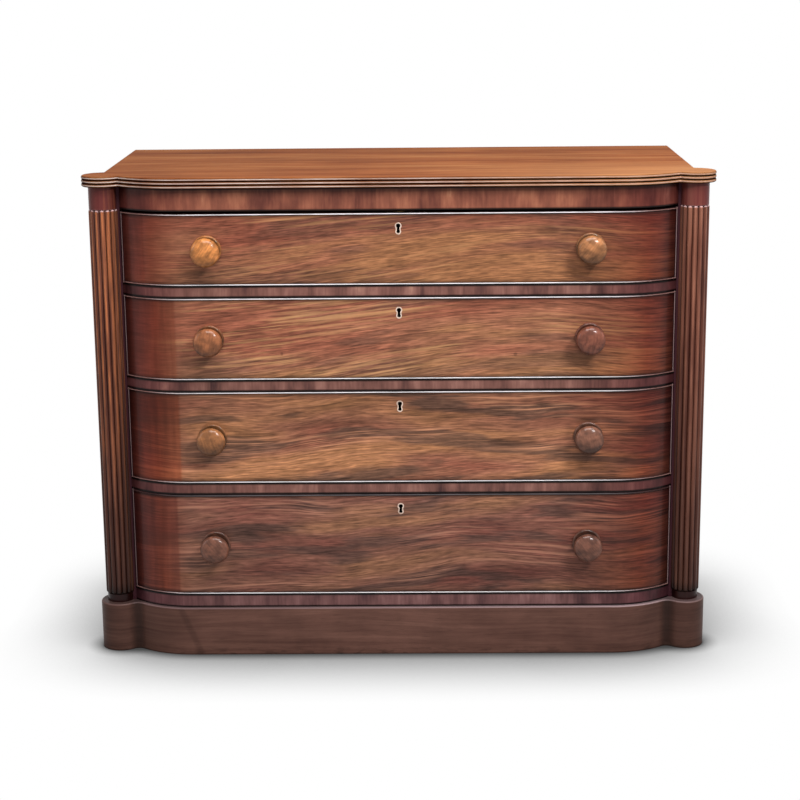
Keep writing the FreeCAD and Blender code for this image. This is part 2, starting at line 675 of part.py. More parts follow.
def knob():
    """A knob turned about the Y axis: spigot, beaded collar, hollow neck and domed head."""
    past = FRONT_THICKNESS + KNOB_SPIGOT_PAST
    collar_foot = Vector(KNOB_COLLAR_RADIUS - KNOB_COLLAR_ROUND, 0, 0)
    collar_crest = Vector(KNOB_COLLAR_RADIUS, -KNOB_COLLAR_HALF, 0)
    collar_face = Vector(collar_foot.x, -2 * KNOB_COLLAR_HALF, 0)
    neck = Vector(KNOB_NECK_RADIUS, -KNOB_NECK_AT, 0)
    head_back = Vector(KNOB_HEAD_RADIUS - KNOB_HEAD_ROUND, -KNOB_HEAD_BACK, 0)
    widest = Vector(KNOB_HEAD_RADIUS, -KNOB_WIDEST_AT, 0)
    tip = Vector(0, -KNOB_REACH, 0)
    stem = [
        tip,
        Vector(0, past, 0),
        Vector(KNOB_SPIGOT_RADIUS, past, 0),
        Vector(KNOB_SPIGOT_RADIUS, 0, 0),
        collar_foot,
    ]
    edges = [Part.LineSegment(a, b).toShape() for a, b in zip(stem, stem[1:])]
    edges.append(Part.Arc(collar_foot, collar_crest, collar_face).toShape())
    edges.append(quarter_ellipse(collar_face, Vector(neck.x, collar_face.y, 0), neck))
    edges.append(quarter_ellipse(neck, Vector(neck.x, head_back.y, 0), head_back))
    edges.append(quarter_ellipse(head_back, Vector(widest.x, head_back.y, 0), widest))
    edges.append(quarter_ellipse(widest, Vector(widest.x, tip.y, 0), tip))
    face = Part.Face(Part.Wire(Part.__sortEdges__(edges)))
    return face.revolve(Vector(0, 0, 0), Vector(0, 1, 0), 360)


def keyhole(middle, wall, y0, y1):
    """A keyhole's shape, wider by a wall all round, from y0 to y1."""
    eye_z = middle + KEYHOLE_EYE_UP
    foot_z = middle - KEYHOLE_FOOT_DOWN
    along = Vector(0, 1, 0)
    eye_radius = KEYHOLE_EYE_RADIUS + wall
    foot_radius = KEYHOLE_FOOT_RADIUS + wall
    eye = Part.makeCylinder(eye_radius, y1 - y0, Vector(0, y0, eye_z), along)
    foot = Part.makeCylinder(foot_radius, y1 - y0, Vector(0, y0, foot_z), along)
    waist = KEYHOLE_WAIST / 2 + wall
    slot = box(-waist, waist, y0, y1, foot_z, eye_z)
    return eye.fuse([slot, foot]).removeSplitter()


def lock_screw(x, z):
    """A countersunk-looking round screw, driven in from behind the lock."""
    back = FRONT_THICKNESS + LOCK_PROUD
    along = Vector(0, -1, 0)
    head = Part.makeCylinder(
        SCREW_HEAD_RADIUS, SCREW_HEAD_THICKNESS, Vector(x, back + SCREW_HEAD_THICKNESS, z), along
    )
    shank = Part.makeCylinder(
        SCREW_RADIUS, LOCK_DEPTH + LOCK_PROUD + SCREW_BITE, Vector(x, back, z), along
    )
    return head.fuse(shank).removeSplitter()


def make_lock(name, z1):
    """A lock let into the drawer front, with its bolt. Returns what the front makes room for."""
    half = LOCK_WIDTH / 2
    low = z1 - LOCK_HEIGHT
    back = FRONT_THICKNESS + LOCK_PROUD
    key_z = z1 - KEYHOLE_DOWN
    case = box(-half, half, LOCK_FRONT, back, low, z1)
    bolt_half = BOLT_WIDTH / 2
    bolt_high = z1 - BOLT_SET_DOWN
    bolt_low = bolt_high - BOLT_LENGTH
    bolt_front = BOLT_Y - BOLT_THICKNESS / 2
    bolt_back = BOLT_Y + BOLT_THICKNESS / 2
    bolt = box(-bolt_half, bolt_half, bolt_front, bolt_back, bolt_low, bolt_high)
    room = box(
        -bolt_half - BOLT_GAP,
        bolt_half + BOLT_GAP,
        bolt_front - BOLT_GAP,
        bolt_back + BOLT_GAP,
        bolt_low - BOLT_GAP,
        z1,
    )
    key_room = keyhole(key_z, 0, LOCK_FRONT, LOCK_FRONT + LOCK_KEY_ROOM)
    eye_z = key_z + KEYHOLE_EYE_UP
    pin_tip = Vector(0, LOCK_PIN_SET_BACK, eye_z)
    pin = Part.makeCylinder(LOCK_PIN_RADIUS, back - LOCK_PIN_SET_BACK, pin_tip, Vector(0, 1, 0))
    screw_x = half - SCREW_INSET
    screws = []
    for z in (low + SCREW_INSET, z1 - SCREW_INSET):
        screws += both(lock_screw(screw_x, z))
    body = case.cut([room, key_room]).fuse(pin).removeSplitter().cut(screws)
    save(name + "_lock", [body] + screws)
    save(name + "_lock_bolt", [bolt])
    return [case] + screws


def make_drawer(number, z0, height):
    name = "drawer_%d" % number
    z1 = z0 + height
    taken = make_drawer_box(name, z0, z1)
    taken.append(make_beads(name, z0, z1))
    taken += make_lock(name, z1)

    key_z = z1 - KEYHOLE_DOWN
    ring_room = keyhole(key_z, ESCUTCHEON_WALL, -ESCUTCHEON_PROUD, ESCUTCHEON_DEPTH)
    key_way = keyhole(key_z, 0, -ESCUTCHEON_PROUD, FRONT_THICKNESS)
    save(name + "_escutcheon", [ring_room.cut(key_way)])
    taken += [ring_room, key_way]

    knobs = []
    for x in (-KNOB_X, KNOB_X):
        turned = knob()
        turned.translate(Vector(x, 0, (z0 + z1) / 2))
        knobs.append(turned)
    save(name + "_knobs", knobs)
    taken += knobs

    front = thick_ended(FRONT_THICKNESS, SHOULDER_DEPTH, DRAWER_HALF, z0, z1)
    save(name + "_front", [front.cut(taken)])


def make_drawers():
    for number, (rail_top, height) in enumerate(zip(RAILS, DRAWER_HEIGHTS), 1):
        make_drawer(number, rail_top + FRONT_GAP, height)


os.makedirs("parts", exist_ok=True)
make_top_board()
make_columns()
make_carcass_front_and_sides()
make_boards_and_runners()
make_guides_stops_and_kickers()
make_top_rails()
make_back_boards()
make_plinth()
make_glue_blocks()
make_drawers()
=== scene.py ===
import math

import bpy
from mathutils import Matrix, Vector


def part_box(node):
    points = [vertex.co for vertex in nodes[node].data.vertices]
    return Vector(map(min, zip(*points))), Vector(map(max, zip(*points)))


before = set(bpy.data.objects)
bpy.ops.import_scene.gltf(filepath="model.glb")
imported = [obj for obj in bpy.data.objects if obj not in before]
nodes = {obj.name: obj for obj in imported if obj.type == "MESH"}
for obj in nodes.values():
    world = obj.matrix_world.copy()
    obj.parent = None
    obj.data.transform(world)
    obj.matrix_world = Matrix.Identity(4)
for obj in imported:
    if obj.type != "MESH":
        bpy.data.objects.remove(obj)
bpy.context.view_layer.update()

# The looks of a Regency mahogany chest of drawers. Lengths are in metres, in the frame's own
# coordinates: +X to the right as the chest is seen, +Y to its back, +Z up, floor at Z = 0.
# Colours are written as they look on a screen, 0 to 255, and turned into the shader's own.

DRAWERS = (1, 2, 3, 4)

# ---- driving sizes -------------------------------------------------------------------------
TOP_LOW, TOP_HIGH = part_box("top_board")
FRIEZE_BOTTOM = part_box("frieze_rail")[0].z
PLINTH_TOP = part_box("plinth_front")[1].z
DRAWER_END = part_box("drawer_1_front")[1].x
POST_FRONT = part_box("front_posts")[0].y
COVE_IN = 0.0715            # from a corner block's outer side to the cove next to it
COVE_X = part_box("plinth_blocks")[1].x - COVE_IN
FLAT_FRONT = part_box("drawer_1_front")[0].y
# how strong and how deep the veneer's open grain is
VENEER_RELIEF = (0.1, 0.0003)


# ---- shader helpers ------------------------------------------------------------------------
def linear(colour):
    """A colour as it looks on a screen, as the shader wants it."""
    parts = [part / 255 for part in colour]
    parts = [p / 12.92 if p < 0.04045 else ((p + 0.055) / 1.055) ** 2.4 for p in parts]
    return (*parts, 1.0)


class Finish:
    """One material, with short ways to add nodes to it."""

    def __init__(self, name, roughness=0.35, shine=0.1, coat=0.0, coat_roughness=0.12):
        self.material = bpy.data.materials.new(name)
        self.material.use_nodes = True
        self.tree = self.material.node_tree
        self.surface = self.tree.nodes["Principled BSDF"]
        self.surface.inputs["Roughness"].default_value = roughness
        self.surface.inputs["Specular IOR Level"].default_value = shine
        self.surface.inputs["Coat Weight"].default_value = coat
        self.surface.inputs["Coat Roughness"].default_value = coat_roughness
        place = self.add("TexCoord").outputs["Object"]
        self.x, self.y, self.z = self.add("SeparateXYZ", place).outputs

    def feed(self, socket, value):
        if isinstance(value, bpy.types.NodeSocket):
            self.tree.links.new(value, socket)
        else:
            socket.default_value = value

    def add(self, kind, *inputs, **settings):
        node = self.tree.nodes.new("ShaderNode" + kind)
        for name, value in settings.items():
            setattr(node, name, value)
        for socket, value in zip(node.inputs, inputs):
            self.feed(socket, value)
        return node

    def math(self, operation, *values):
        return self.add("Math", *values, operation=operation).outputs[0]

    def plus(self, a, b):
        return self.math("ADD", a, b)

    def minus(self, a, b):
        return self.math("SUBTRACT", a, b)

    def times(self, a, b):
        return self.math("MULTIPLY", a, b)

    def between(self, value, start, end, low=0.0, high=1.0, smooth=False):
        """value, carried from the range start to end over to low to high, and held there."""
        kind = "SMOOTHSTEP" if smooth else "LINEAR"
        node = self.add("MapRange", value, start, end, low, high, interpolation_type=kind)
        return node.outputs[0]

    def noise(self, along, across, through, detail=2.0):
        node = self.add("TexNoise")
        self.feed(node.inputs["Vector"], self.add("CombineXYZ", along, across, through).outputs[0])
        node.inputs["Scale"].default_value = 1.0
        node.inputs["Detail"].default_value = detail
        return node.outputs[0]

    def cells(self, value):
        """A chance value from 0 to 1 for each whole step of value."""
        node = self.add("TexWhiteNoise", noise_dimensions="1D")
        self.feed(node.inputs["W"], self.math("FLOOR", value))
        return node.outputs[0]

    def ramp(self, value, stops):
        node = self.add("ValToRGB", value)
        elements = node.color_ramp.elements
        while len(elements) < len(stops):
            elements.new(1.0)
        for element, (position, colour) in zip(elements, stops):
            element.position = position
            element.color = linear(colour)
        return node.outputs[0]

    def mix(self, share, a, b, blend="MIX"):
        node = self.add("Mix", data_type="RGBA", blend_type=blend)
        self.feed(node.inputs[0], share)
        for socket, value in ((node.inputs[6], a), (node.inputs[7], b)):
            self.feed(socket, linear(value) if isinstance(value, tuple) else value)
        return node.outputs[2]

    def shade(self, colour, factor):
        """colour, made darker or lighter by a factor that differs from place to place."""
        grey = self.add("CombineXYZ", factor, factor, factor).outputs[0]
        return self.mix(1.0, colour, grey, "MULTIPLY")

    def dress(self, colour, height=None, strength=0.2, distance=0.0004, polish=None):
        """Finish the material: its colour, and if given its relief and uneven polish."""
        self.feed(self.surface.inputs["Base Color"], colour)
        if polish is not None:
            self.feed(self.surface.inputs["Roughness"], polish)
        if height is not None:
            bump = self.add("Bump")
            bump.inputs["Strength"].default_value = strength
            bump.inputs["Distance"].default_value = distance
            self.feed(bump.inputs["Height"], height)
            self.feed(self.surface.inputs["Normal"], bump.outputs[0])
        return self.material


def give(material, *names):
    for name in names:
        mesh = nodes[name].data
        mesh.materials.clear()
        mesh.materials.append(material)


# ---- wood figure ---------------------------------------------------------------------------
def grain_layers(finish, along, across, seed):
    """Four layers of long grain, from broad tone to fine streaks, each about 0.5."""
    broad = finish.noise(finish.times(along, 1.8), finish.times(across, 13), seed)
    streak = finish.noise(finish.times(along, 4.0), finish.times(across, 62), seed + 7)
    fine = finish.noise(finish.times(along, 9.0), finish.times(across, 210), seed + 13)
    pores = finish.noise(
        finish.times(along, 42.0), finish.times(across, 1300), seed + 19, detail=1.0
    )
    return broad, streak, fine, pores


def mahogany_tone(finish, along, across, seed, stops, gains=(1.4, 1.0, 0.7)):
    """The colour of long-grained mahogany, and the height of its open pores."""
    broad, streak, fine, pores = grain_layers(finish, along, across, seed)
    value = 0.5
    for layer, gain in zip((broad, streak, fine), gains):
        value = finish.plus(value, finish.times(finish.minus(layer, 0.5), gain))
    colour = finish.ramp(value, stops)
    open_pores = finish.between(pores, 0.60, 0.70)
    return finish.shade(colour, finish.between(open_pores, 0, 1, 1.0, 0.72)), pores


# ---- drawer fronts -------------------------------------------------------------------------
# the veneer's tones: in its upper part, plain, in its lower part, dull patches, bright lines
WARM_WOODS = ((155, 96, 77), (161, 109, 86), (178, 129, 92), (114, 82, 70), (236, 184, 132))
DULL_WOODS = ((142, 89, 74), (149, 104, 84), (170, 124, 90), (100, 77, 66), (232, 172, 136))

# What differs from drawer to drawer:
# seed: picks the figure; woods: its tones; tint: over all of them
# rise, waves: how far the grain climbs to the right, and how far it wavers
# reddening: how much redder the front is above; figure: how strong its streaks are
# foot, head: its shade at the lower and at the upper edge
# join: where the leaf of veneer at the left end meets the next; leaf: that leaf's tint
# lenses: dark patches in the figure, as middle x and z, half length, half height and shade
DRAWER_LOOKS = {
    1: {
        "seed": 11.0,
        "woods": WARM_WOODS,
        "tint": (212, 198, 190),
        "rise": 0.062,
        "waves": 0.012,
        "reddening": 1.9,
        "figure": 0.6,
        "foot": 1.08,
        "head": 0.98,
        "join": -0.460,
        "leaf": (242, 226, 220),
        "lenses": (
            (-0.093, 0.043, 0.026, 0.010, 0.80),
            (-0.005, -0.024, 0.018, 0.020, 0.78),
            (0.266, 0.032, 0.026, 0.011, 0.68),
            (-0.108, -0.050, 0.075, 0.008, 0.76),
        ),
    },
    2: {
        "seed": 11.4,
        "woods": WARM_WOODS,
        "tint": (232, 224, 215),
        "rise": 0.070,
        "waves": 0.014,
        "reddening": 1.5,
        "figure": 0.6,
        "foot": 1.12,
        "head": 0.97,
        "join": -0.407,
        "leaf": (240, 222, 214),
        "lenses": (
            (-0.272, 0.006, 0.046, 0.012, 0.72),
            (-0.002, -0.020, 0.020, 0.022, 0.80),
            (0.211, -0.032, 0.004, 0.003, 0.60),
            (-0.214, -0.028, 0.003, 0.003, 0.60),
        ),
    },
    3: {
        "seed": 31.0,
        "woods": DULL_WOODS,
        "tint": (236, 222, 212),
        "rise": 0.040,
        "waves": 0.046,
        "reddening": 0.7,
        "figure": 0.9,
        "foot": 1.31,
        "head": 0.80,
        "join": -0.405,
        "leaf": (236, 206, 190),
        "lenses": (
            (-0.281, 0.004, 0.036, 0.010, 0.64),
            (0.211, -0.011, 0.055, 0.012, 0.60),
            (-0.126, 0.026, 0.090, 0.010, 0.74),
            (0.080, 0.045, 0.095, 0.011, 0.76),
        ),
    },
    4: {
        "seed": 47.0,
        "woods": DULL_WOODS,
        "tint": (208, 198, 204),
        "rise": 0.030,
        "waves": 0.060,
        "reddening": 0.7,
        "figure": 0.8,
        "foot": 0.88,
        "head": 1.14,
        "join": -0.415,
        "leaf": (236, 214, 212),
        "lenses": (
            (-0.262, 0.026, 0.060, 0.015, 0.64),
            (0.220, -0.056, 0.090, 0.017, 0.66),
        ),
    },
}

# where the front bends back it turns from the light: darker and more purple to both ends
BEND = 0.11                 # the bend's share of a front's width, at each end
LEFT_BEND = (180, 138, 128)
LEFT_END = (160, 124, 145)
RIGHT_BEND = (150, 105, 100)
RIGHT_END = (118, 86, 96)


def bent_ends(tint):
    """A front's tint from its left end to its right end."""
    return (
        (0.0, LEFT_END),
        (BEND / 2, LEFT_BEND),
        (BEND, tint),
        (1 - 2 * BEND, tint),
        (1 - BEND / 2, RIGHT_BEND),
        (1.0, RIGHT_END),
    )


def lie_of_grain(finish, x, z, look):
    """How far each point of a front lies across its grain, which climbs and wavers."""
    rise = look["rise"]
    steep = finish.between(z, -0.08, 0.08, 1.35, 0.75)
    climb = finish.between(x, -0.42, 0.30, 0.0, rise, smooth=True)
    sag = finish.between(x, 0.27, 0.50, 0.0, rise * 0.25, smooth=True)
    climb = finish.minus(finish.times(climb, steep), sag)
    across = finish.minus(z, climb)
    for along, over, share, step in ((2.6, 6.0, 1.1, 50.0), (6.5, 12.0, 0.3, 60.0)):
        wave = finish.noise(
            finish.times(x, along), finish.times(z, over), look["seed"] + step, detail=1.0
        )
        lift = finish.times(finish.minus(wave, 0.5), look["waves"] * share)
        across = finish.plus(across, lift)
    return across


def streaked_veneer(finish, x, z, look):
    """The colour of a front's figured wood, and its dark lines."""
    across = lie_of_grain(finish, x, z, look)
    figure = look["figure"]

    def layer(along, over, step, detail=2.0):
        return finish.noise(
            finish.times(x, along), finish.times(across, over), look["seed"] + step, detail=detail
        )

    # redder above, more golden below, with soft dull patches
    red, plain, golden, dull, bright = look["woods"]
    tone = finish.minus(layer(2.4, 13.0, 21.0), finish.times(z, look["reddening"]))
    colour = finish.ramp(tone, ((0.36, red), (0.48, plain), (0.60, golden)))
    patch = finish.between(layer(4.2, 25.0, 40.0, 3.0), 0.50, 0.60, smooth=True)
    colour = finish.mix(finish.times(patch, 0.95 * figure), colour, dull)
    # fine grain, thin dark lines, and thin bright ones in clusters
    for along, over, step, gain in (
        (5.0, 60.0, 7.0, 0.9),
        (18.0, 230.0, 13.0, 1.6),
        (40.0, 430.0, 17.0, 2.2),
    ):
        lift = finish.times(finish.minus(layer(along, over, step, 3.0), 0.5), gain)
        colour = finish.shade(colour, finish.plus(lift, 1.0))
    dark = finish.between(layer(4.0, 190.0, 90.0, 3.0), 0.57, 0.70)
    colour = finish.shade(colour, finish.between(dark, 0.0, 1.0, 1.0, 1.0 - 0.38 * figure))
    cluster = finish.between(layer(3.0, 17.0, 30.0), 0.46, 0.58)
    for along, over, step, share in ((3.4, 130.0, 33.0, 0.9), (10.0, 280.0, 36.0, 0.7)):
        lit = finish.between(layer(along, over, step), 0.54, 0.68)
        lit = finish.times(finish.times(lit, cluster), share * figure)
        colour = finish.mix(lit, colour, bright)
    return colour, dark


def dark_lenses(finish, colour, x, z, look):
    """Dark lens-shaped patches, where the cut runs through a swirl in the grain."""
    wobble = finish.noise(
        finish.times(x, 14.0), finish.times(z, 60.0), look["seed"] + 95.0, detail=3.0
    )
    z = finish.plus(z, finish.times(finish.minus(wobble, 0.5), 0.016))
    for middle_x, middle_z, half_length, half_height, shade in look["lenses"]:
        along = finish.times(finish.minus(x, middle_x), 1 / half_length)
        over = finish.times(finish.minus(z, middle_z), 1 / half_height)
        out = finish.plus(finish.times(along, along), finish.times(over, over))
        colour = finish.shade(colour, finish.between(out, 0.2, 1.2, shade, 1.0, smooth=True))
    return colour


def tone_along_front(finish, colour, x, z, look):
    """The drawer's tint, and its darker ends, painted shade where the front bends away from the
    light, with an uneven border.
    """
    edge = finish.noise(finish.times(x, 4.0), finish.times(z, 9.0), look["seed"] + 70)
    shifted = finish.plus(x, finish.times(finish.minus(edge, 0.5), 0.03))
    share = finish.between(shifted, -DRAWER_END, DRAWER_END)
    return finish.mix(1.0, colour, finish.ramp(share, bent_ends(look["tint"])), "MULTIPLY")


def left_leaf(finish, colour, x, z, look, left, half):
    """The leaf left of the join: tinted, paler below, with soft upright ripples."""
    ripple = finish.noise(
        finish.times(x, 75.0), finish.times(z, 7.0), look["seed"] + 80, detail=3.0
    )
    leaf = finish.shade(colour, finish.between(ripple, 0.3, 0.7, 0.80, 1.20))
    leaf = finish.mix(1.0, leaf, look["leaf"], "MULTIPLY")
    leaf = finish.shade(leaf, finish.between(z, -half, half, 1.10, 0.86))
    rest = finish.shade(colour, finish.between(ripple, 0.3, 0.7, 0.96, 1.04))
    return finish.mix(left, rest, leaf)


def grime_and_painted_shade_at_edges(finish, colour, x, z, half):
    """Darker along the edges of a front next to its beads, and toward its ends next to the columns:
    partly old soiling, partly painted shade where the beads and the columns shade it.
    """
    from_edge = finish.minus(half, finish.math("ABSOLUTE", z))
    grime_and_shade = finish.between(from_edge, 0.0028, 0.0115, 0.42, 1.0, smooth=True)
    from_end = finish.minus(DRAWER_END, finish.math("ABSOLUTE", x))
    grime_and_shade = finish.times(grime_and_shade, finish.between(from_end, 0.003, 0.032, 0.42, 1.0, smooth=True))
    return finish.shade(colour, grime_and_shade)


def dark_keyhole(finish, colour):
    """The keyhole's sides in the wood, unlit behind the brass lining."""
    hole = finish.between(finish.math("ABSOLUTE", finish.x), 0.008, 0.010, 1.0, 0.0)
    hole = finish.times(hole, finish.between(finish.y, FLAT_FRONT + 0.002, FLAT_FRONT + 0.003))
    hole = finish.times(hole, finish.between(finish.y, FLAT_FRONT + 0.02, FLAT_FRONT + 0.019))
    return finish.mix(hole, colour, (4, 3, 3))


def uneven_polish(finish, seed):
    """Slow changes of polish, from rubbing and age."""
    rubbing = finish.noise(
        finish.times(finish.x, 6.0), finish.times(finish.y, 6.0), finish.plus(finish.z, seed)
    )
    return finish.between(rubbing, 0.3, 0.7, 0.30, 0.42)


def drawer_front(number):
    """Veneer on one drawer front: streaks that rise to the right, in two leaves."""
    look = DRAWER_LOOKS[number]
    finish = Finish("mahogany_drawer_front_%d" % number, coat=0.12, coat_roughness=0.16)
    low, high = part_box("drawer_%d_front" % number)
    half = (high.z - low.z) / 2
    x = finish.x
    z = finish.minus(finish.z, (low.z + high.z) / 2)
    colour, dark = streaked_veneer(finish, x, z, look)
    colour = dark_lenses(finish, colour, x, z, look)
    # the figure is calmer to the left, and in the leaf left of the join
    join = look["join"]
    left = finish.between(x, join - 0.003, join + 0.003, 1.0, 0.0, smooth=True)
    calm = finish.between(x, -0.46, -0.34, 0.5, 0.0, smooth=True)
    calm = finish.math("MAXIMUM", calm, finish.times(left, 0.6))
    plain = look["woods"][1]
    colour = finish.mix(calm, colour, plain)
    colour = finish.shade(colour, finish.between(z, -half, half, look["foot"], look["head"]))
    colour = tone_along_front(finish, colour, x, z, look)
    colour = left_leaf(finish, colour, x, z, look, left, half)
    colour = grime_and_painted_shade_at_edges(finish, colour, x, z, half)
    colour = dark_keyhole(finish, colour)
    polish = uneven_polish(finish, look["seed"])
    give(finish.dress(colour, dark, *VENEER_RELIEF, polish), "drawer_%d_front" % number)


def drawer_fronts():
    for number in DRAWERS:
        drawer_front(number)


# ---- rails and frieze ----------------------------------------------------------------------
LEAVES_PER_METRE = 26.0
FRIEZE_TONES = (
    (0.0, (82, 45, 41)),
    (0.3, (113, 67, 55)),
    (0.55, (138, 85, 68)),
    (0.8, (164, 107, 83)),
    (1.0, (204, 148, 116)),
)
RAIL_TONES = (
    (0.0, (72, 48, 48)),
    (0.3, (105, 72, 66)),
    (0.55, (128, 90, 82)),
    (0.8, (150, 110, 100)),
    (1.0, (185, 145, 122)),
)
BOTTOM_RAIL_TINT = (232, 236, 255)
# where the rails bend back they turn from the light: painted shade, darker and more purple to both
# ends
RAIL_FLAT = (252, 244, 240)
RAIL_BEND = (190, 155, 165)
RAIL_END = (120, 95, 112)
RAIL_FALL = (
    (0.0, RAIL_END),
    (0.05, RAIL_BEND),
    (0.16, RAIL_FLAT),
    (0.80, RAIL_FLAT),
    (0.93, RAIL_BEND),
    (1.0, RAIL_END),
)


def crossbanded(name, seed, tones, contrast):
    """Cross-banding: upright grain in short leaves, set side by side along the rail."""
    finish = Finish("mahogany_" + name, coat=0.1, coat_roughness=0.18)
    low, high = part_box(name)
    x, z = finish.x, finish.z
    wander = finish.noise(finish.times(z, 20.0), finish.times(x, 8.0), seed + 5.0)
    across = finish.plus(x, finish.times(wander, 0.004))
    broad = finish.noise(finish.times(z, 12.0), finish.times(across, 34.0), seed, detail=4.0)
    fine = finish.noise(finish.times(z, 20.0), finish.times(across, 210.0), seed + 9, detail=2.0)
    parts = finish.cells(finish.plus(finish.times(x, LEAVES_PER_METRE), seed))
    value = 0.5
    for layer, gain in ((broad, 1.7), (fine, 0.4), (parts, 0.25)):
        value = finish.plus(value, finish.times(finish.minus(layer, 0.5), gain * contrast))
    colour = finish.ramp(value, tones)
    share = finish.between(x, low.x, high.x)
    colour = finish.mix(1.0, colour, finish.ramp(share, RAIL_FALL), "MULTIPLY")
    # painted shade along its upper and its lower edge: the shadow of the beads and the dark gaps by
    # the drawers
    for depth in (finish.minus(high.z, z), finish.minus(z, low.z)):
        painted_shade = finish.between(depth, 0.0012, 0.0046, 0.03, 1.0, smooth=True)
        colour = finish.shade(colour, painted_shade)
    return finish, colour, fine


def rails():
    finish, colour, grain = crossbanded("frieze_rail", 3.0, FRIEZE_TONES, 0.95)
    # painted shadow under the overhanging top board
    below_top = finish.minus(TOP_LOW.z, finish.z)
    colour = finish.shade(colour, finish.between(below_top, 0.0, 0.020, 0.5, 1.0, smooth=True))
    give(finish.dress(colour, grain, *VENEER_RELIEF), "frieze_rail")
    for name, seed in (
        ("divider_rail_1", 17.0),
        ("divider_rail_2", 29.0),
        ("divider_rail_3", 37.0),
        ("bottom_rail", 43.0),
    ):
        finish, colour, grain = crossbanded(name, seed, RAIL_TONES, 1.0)
        if name == "bottom_rail":
            colour = finish.mix(1.0, colour, BOTTOM_RAIL_TINT, "MULTIPLY")
        give(finish.dress(colour, grain, *VENEER_RELIEF), name)


# ---- top board -----------------------------------------------------------------------------
TOP_REEDS = 3
REED_HEIGHT = (TOP_HIGH.z - TOP_LOW.z) / TOP_REEDS
TOP_TONES = (
    (0.0, (108, 50, 22)),
    (0.35, (140, 75, 36)),
    (0.6, (160, 94, 50)),
    (1.0, (188, 130, 80)),
)


def reeded_edge(finish, colour):
    """The top's reeded edge: painted shade in its grooves, and a painted highlight on its crests,
    patchy as from wear.
    """
    x, y, z = finish.x, finish.y, finish.z
    steps = finish.math("DIVIDE", finish.minus(z, TOP_LOW.z), REED_HEIGHT)
    from_crest = finish.math("ABSOLUTE", finish.minus(finish.math("FRACT", steps), 0.5))
    below_top = finish.between(z, TOP_HIGH.z - 0.0012, TOP_HIGH.z - 0.0006, 1.0, 0.0)
    rubbed_and_highlight = finish.between(from_crest, 0.03, 0.20, 1.0, 0.0, smooth=True)
    rubbed_and_highlight = finish.times(rubbed_and_highlight, below_top)
    wear_and_highlight = finish.noise(finish.times(x, 25.0), finish.times(y, 25.0), 2.0)
    rubbed_and_highlight = finish.times(rubbed_and_highlight, finish.between(wear_and_highlight, 0.3, 0.7, 0.45, 1.0))
    groove = finish.times(finish.between(from_crest, 0.24, 0.36, smooth=True), below_top)
    colour = finish.shade(colour, finish.between(below_top, 0.0, 1.0, 1.0, 0.7))
    crest = finish.mix(finish.between(x, -0.2, 0.3), (218, 204, 196), (206, 172, 156))
    colour = finish.mix(finish.times(rubbed_and_highlight, 0.95), colour, crest)
    return finish.mix(groove, colour, (22, 10, 8))


def top_board():
    """The top: warm, with painted light from the right: darker to the left and lightest to its
    front on the right.
    """
    finish = Finish("mahogany_top", shine=0.0, coat=0.08, coat_roughness=0.2)
    x, y = finish.x, finish.y
    sway = finish.noise(finish.times(x, 1.5), finish.times(y, 3.0), 4.0, detail=1.0)
    across = finish.plus(y, finish.times(sway, 0.03))
    colour, pores = mahogany_tone(finish, x, across, 5.0, TOP_TONES, gains=(1.0, 0.8, 0.6))
    smudge = finish.noise(finish.times(x, 5.0), finish.times(y, 7.0), 9.0)
    colour = finish.shade(colour, finish.between(smudge, 0.35, 0.62, 0.88, 1.03))
    # painted shade to the left, and a painted glow to the front on the right
    colour = finish.shade(colour, finish.between(x, -0.5, 0.45, 0.88, 1.02))
    painted_glow = finish.times(finish.between(x, 0.0, 0.5), finish.between(y, 0.0, TOP_LOW.y))
    colour = finish.mix(finish.times(painted_glow, 0.35), colour, (236, 176, 120))
    colour = reeded_edge(finish, colour)
    give(finish.dress(colour, pores, 0.08, 0.0003), "top_board")


# ---- columns -------------------------------------------------------------------------------
NECK_TOP = PLINTH_TOP + 0.015
# how far from a column's axis its reeds' crests, valleys and tips begin and end
COLUMN_RADIUS = 0.0273
CREST_FROM = COLUMN_RADIUS - 0.0006
VALLEY_FROM = COLUMN_RADIUS - 0.0013
VALLEY_FLOOR = COLUMN_RADIUS - 0.0030
TIP_FROM = COLUMN_RADIUS - 0.0038
TIP_TO = COLUMN_RADIUS - 0.0023
COLUMN_TONES = ((0.0, (58, 30, 24)), (0.35, (84, 46, 36)), (0.6, (106, 62, 48)))


def shaft_share(finish):
    """1 on a column's reeded shaft, 0 on its plain neck and cap."""
    below_cap = finish.between(finish.z, FRIEZE_BOTTOM + 0.0005, FRIEZE_BOTTOM - 0.0005)
    above_neck = finish.between(finish.z, NECK_TOP - 0.0002, NECK_TOP + 0.0005)
    return finish.times(below_cap, above_neck)


def reeds_worn_and_shaded(finish, colour, on_shaft, out, turn, warmth):
    """Crests lightened by wear and a painted highlight, their warmth fading toward the foot, and
    old soiling and painted shade in the valleys.
    """
    z = finish.z
    crest = finish.times(finish.between(out, CREST_FROM, COLUMN_RADIUS, smooth=True), on_shaft)
    wear_and_highlight = finish.noise(finish.times(z, 14.0), finish.times(turn, 60.0), 31.0)
    wear_and_highlight = finish.between(wear_and_highlight, 0.35, 0.65, 0.25, 0.75)
    rubbed_and_highlight = finish.mix(finish.between(z, 0.15, 0.55), (124, 84, 72), warmth)
    colour = finish.mix(finish.times(crest, wear_and_highlight), colour, rubbed_and_highlight)
    valley = finish.times(finish.between(out, VALLEY_FROM, VALLEY_FLOOR, smooth=True), on_shaft)
    return finish.mix(finish.times(valley, 0.75), colour, (64, 32, 27))


def tips_with_painted_highlight(finish, colour, on_shaft, out):
    """The rounded tops of the reeds just under the cap, with a painted highlight where they face
    up.
    """
    tip = finish.between(finish.z, FRIEZE_BOTTOM - 0.0034, FRIEZE_BOTTOM - 0.0016)
    tip = finish.times(finish.times(tip, on_shaft), finish.between(out, TIP_FROM, TIP_TO))
    return finish.mix(finish.times(tip, 0.8), colour, (222, 184, 184))


